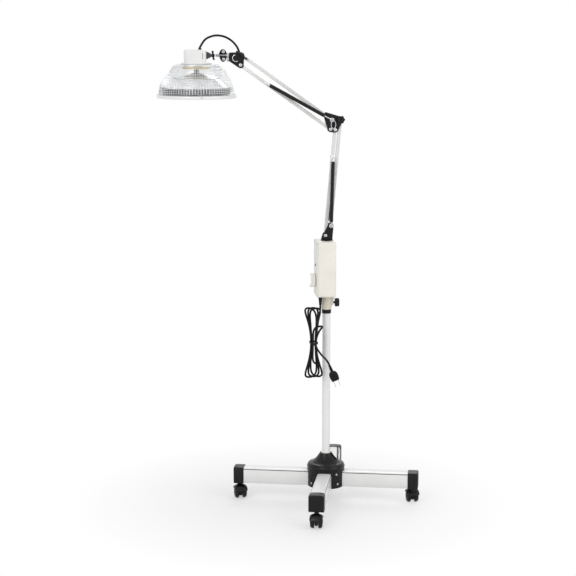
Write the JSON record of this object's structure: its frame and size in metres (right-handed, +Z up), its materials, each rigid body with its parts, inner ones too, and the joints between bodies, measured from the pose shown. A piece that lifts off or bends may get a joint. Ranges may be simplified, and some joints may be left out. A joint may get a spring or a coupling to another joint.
{
  "type": "infrared heat therapy lamp",
  "caption": "Domed heating head with a wire hood on a sprung folding arm, above a timer box on a height-adjustable pole with a wheeled cross base.",
  "frame": {"origin": "on the floor, under the centre of the bounding box of the lamp without its cord", "axes": "+Z up along the pole; the folding arm and the head lie in the XZ plane with the head towards -X; the control panel faces -X"},
  "size_m": [0.703, 0.5334, 1.2693],
  "materials": {
    "white_enamel": "smooth semi-gloss white enamel",
    "black_plastic": "moulded black plastic, softly glossy",
    "beige_plastic": "warm beige moulded plastic",
    "black_enamel": "black enamel on pressed steel",
    "bright_steel": "bright zinc-plated steel",
    "bright_wire": "bright welded wire",
    "reflector_sheet": "bright spun sheet",
    "heater_plate": "matte grey mineral coating",
    "dark_metal": "dark grey cast block",
    "amber": "yellow glazed insulator",
    "black_rubber": "hard black caster tread",
    "cord_rubber": "black flexible sheath",
    "spring_sleeve": "black sleeve over a steel spring with plated hooks"
  },
  "bodies": {
    "stand": {"hub_cover": "black_plastic", "hub_core": "bright_steel", "leg_1": "white_enamel", "leg_2": "white_enamel", "leg_3": "white_enamel", "leg_4": "white_enamel", "leg_cap_1": "black_plastic", "leg_cap_2": "black_plastic", "leg_cap_3": "black_plastic", "leg_cap_4": "black_plastic", "pole": "white_enamel", "pole_collar": "black_plastic", "lock_strip": "bright_steel"},
    "control_box": {"box_shell": "beige_plastic", "box_panel": "beige_plastic", "box_socket": "beige_plastic", "timer_unit": "black_plastic", "indicator": "amber", "cord_gland": "black_plastic", "cord_lead": "cord_rubber", "cord_hank": "cord_rubber", "hank_tie": "black_plastic", "cord_tail": "cord_rubber", "plug_body": "cord_rubber", "plug_prong_1": "bright_steel", "plug_prong_2": "bright_steel"},
    "clamp_screw": {"clamp_knob": "black_plastic"},
    "timer_dial": {"timer_knob": "beige_plastic"},
    "arm_foot": {"lower_bracket": "black_enamel"},
    "lower_arm": {"lower_bar_a": "white_enamel", "lower_springs": "spring_sleeve"},
    "lower_rod": {"lower_bar_b": "white_enamel"},
    "elbow": {"elbow_bracket": "black_enamel"},
    "elbow_dial": {"elbow_knob": "black_plastic"},
    "upper_arm": {"upper_bar_a": "white_enamel", "upper_springs": "spring_sleeve"},
    "upper_rod": {"upper_bar_b": "white_enamel"},
    "wrist": {"head_bracket": "black_enamel", "clamp_jaws": "black_plastic", "head_lead": "cord_rubber"},
    "bracket_dial": {"bracket_knob": "black_plastic"},
    "head_rod": {"clamp_rods": "bright_steel"},
    "rod_nut": {"wing_nut": "black_plastic"},
    "head": {"knuckle": "dark_metal", "head_cap": "white_enamel", "guard_hood": "bright_wire", "guard_rim": "white_enamel", "reflector": "reflector_sheet", "heater_plate": "heater_plate", "insulator_ring": "amber", "bottom_guard": "bright_wire"},
    "caster_1": {"caster_housing_1": "black_plastic"},
    "caster_2": {"caster_housing_2": "black_plastic"},
    "caster_3": {"caster_housing_3": "black_plastic"},
    "caster_4": {"caster_housing_4": "black_plastic"},
    "wheels_1": {"caster_wheels_1": "black_rubber"},
    "wheels_2": {"caster_wheels_2": "black_rubber"},
    "wheels_3": {"caster_wheels_3": "black_rubber"},
    "wheels_4": {"caster_wheels_4": "black_rubber"}
  },
  "joints": [
    {"name": "box_turn", "type": "hinge", "parent": "stand", "child": "control_box", "pos_m": [0.099, 0, 0.6], "axis": [0, 0, 1], "continuous": true},
    {"name": "clamp_turn", "type": "hinge", "parent": "control_box", "child": "clamp_screw", "pos_m": [0.1212, 0, 0.553], "axis": [1, 0, 0], "continuous": true},
    {"name": "timer_turn", "type": "hinge", "parent": "control_box", "child": "timer_dial", "pos_m": [0.069, 0, 0.615], "axis": [-1, 0, 0], "range_deg": [0, 300]},
    {"name": "arm_turn", "type": "hinge", "parent": "control_box", "child": "arm_foot", "pos_m": [0.099, 0, 0.7228], "axis": [0, 0, 1], "range_deg": [-90, 90]},
    {"name": "lower_arm_fold", "type": "hinge", "parent": "arm_foot", "child": "lower_arm", "pos_m": [0.0948, 0, 0.736], "axis": [0, 1, 0], "range_deg": [-50, 4], "deforming": ["lower_springs"]},
    {"name": "lower_link", "type": "hinge", "parent": "arm_foot", "child": "lower_rod", "pos_m": [0.1091, 0, 0.763], "axis": [0, 1, 0], "range_deg": [-50, 4], "deforming": ["lower_springs"]},
    {"name": "elbow_level", "type": "hinge", "parent": "lower_arm", "child": "elbow", "pos_m": [0.11956, 0, 1.01892], "axis": [0, 1, 0], "range_deg": [-4, 50], "deforming": ["lower_springs"]},
    {"name": "elbow_knob_turn", "type": "hinge", "parent": "elbow", "child": "elbow_dial", "pos_m": [0.13386, 0, 1.04592], "axis": [0, -1, 0], "continuous": true},
    {"name": "upper_arm_fold", "type": "hinge", "parent": "elbow", "child": "upper_arm", "pos_m": [0.10716, 0, 1.01992], "axis": [0, 1, 0], "range_deg": [-60, 28], "deforming": ["upper_springs", "head_lead"]},
    {"name": "upper_link", "type": "hinge", "parent": "elbow", "child": "upper_rod", "pos_m": [0.11016, 0, 1.04542], "axis": [0, 1, 0], "range_deg": [-60, 28], "deforming": ["upper_springs", "head_lead"]},
    {"name": "wrist_level", "type": "hinge", "parent": "upper_arm", "child": "wrist", "pos_m": [-0.13105, 0, 1.18983], "axis": [0, 1, 0], "range_deg": [-28, 60], "deforming": ["head_lead"]},
    {"name": "bracket_knob_turn", "type": "hinge", "parent": "wrist", "child": "bracket_dial", "pos_m": [-0.12805, 0, 1.21533], "axis": [0, -1, 0], "continuous": true},
    {"name": "head_roll", "type": "hinge", "parent": "wrist", "child": "head_rod", "pos_m": [-0.13105, 0, 1.21503], "axis": [1, 0, 0], "range_deg": [-60, 60], "deforming": ["head_lead"]},
    {"name": "wing_nut_turn", "type": "hinge", "parent": "head_rod", "child": "rod_nut", "pos_m": [-0.20225, 0, 1.21503], "axis": [1, 0, 0], "continuous": true},
    {"name": "head_tilt", "type": "hinge", "parent": "head_rod", "child": "head", "pos_m": [-0.21165, 0, 1.21503], "axis": [0, 1, 0], "range_deg": [-12, 45], "deforming": ["head_lead"]},
    {"name": "caster_swivel_1", "type": "hinge", "parent": "stand", "child": "caster_1", "pos_m": [0.33282, -0.05184, 0.05], "axis": [0, 0, 1], "continuous": true},
    {"name": "caster_swivel_2", "type": "hinge", "parent": "stand", "child": "caster_2", "pos_m": [0.15084, 0.23382, 0.05], "axis": [0, 0, 1], "continuous": true},
    {"name": "caster_swivel_3", "type": "hinge", "parent": "stand", "child": "caster_3", "pos_m": [-0.13482, 0.05184, 0.05], "axis": [0, 0, 1], "continuous": true},
    {"name": "caster_swivel_4", "type": "hinge", "parent": "stand", "child": "caster_4", "pos_m": [0.04716, -0.23382, 0.05], "axis": [0, 0, 1], "continuous": true},
    {"name": "wheel_roll_1", "type": "hinge", "parent": "caster_1", "child": "wheels_1", "pos_m": [0.33282, -0.04184, 0.01765], "axis": [-1, 0, 0], "continuous": true},
    {"name": "wheel_roll_2", "type": "hinge", "parent": "caster_2", "child": "wheels_2", "pos_m": [0.15257, 0.24367, 0.01765], "axis": [-0.9848, 0.1736, 0], "continuous": true},
    {"name": "wheel_roll_3", "type": "hinge", "parent": "caster_3", "child": "wheels_3", "pos_m": [-0.13378, 0.04189, 0.01765], "axis": [0.9945, 0.1045, 0], "continuous": true},
    {"name": "wheel_roll_4", "type": "hinge", "parent": "caster_4", "child": "wheels_4", "pos_m": [0.04543, -0.24367, 0.01765], "axis": [0.9848, -0.1736, 0], "continuous": true}
  ],
  "couplings": [
    {"joint": "lower_link", "follows": "lower_arm_fold", "ratio": 1},
    {"joint": "elbow_level", "follows": "lower_arm_fold", "ratio": -1},
    {"joint": "upper_link", "follows": "upper_arm_fold", "ratio": 1},
    {"joint": "wrist_level", "follows": "upper_arm_fold", "ratio": -1}
  ]
}
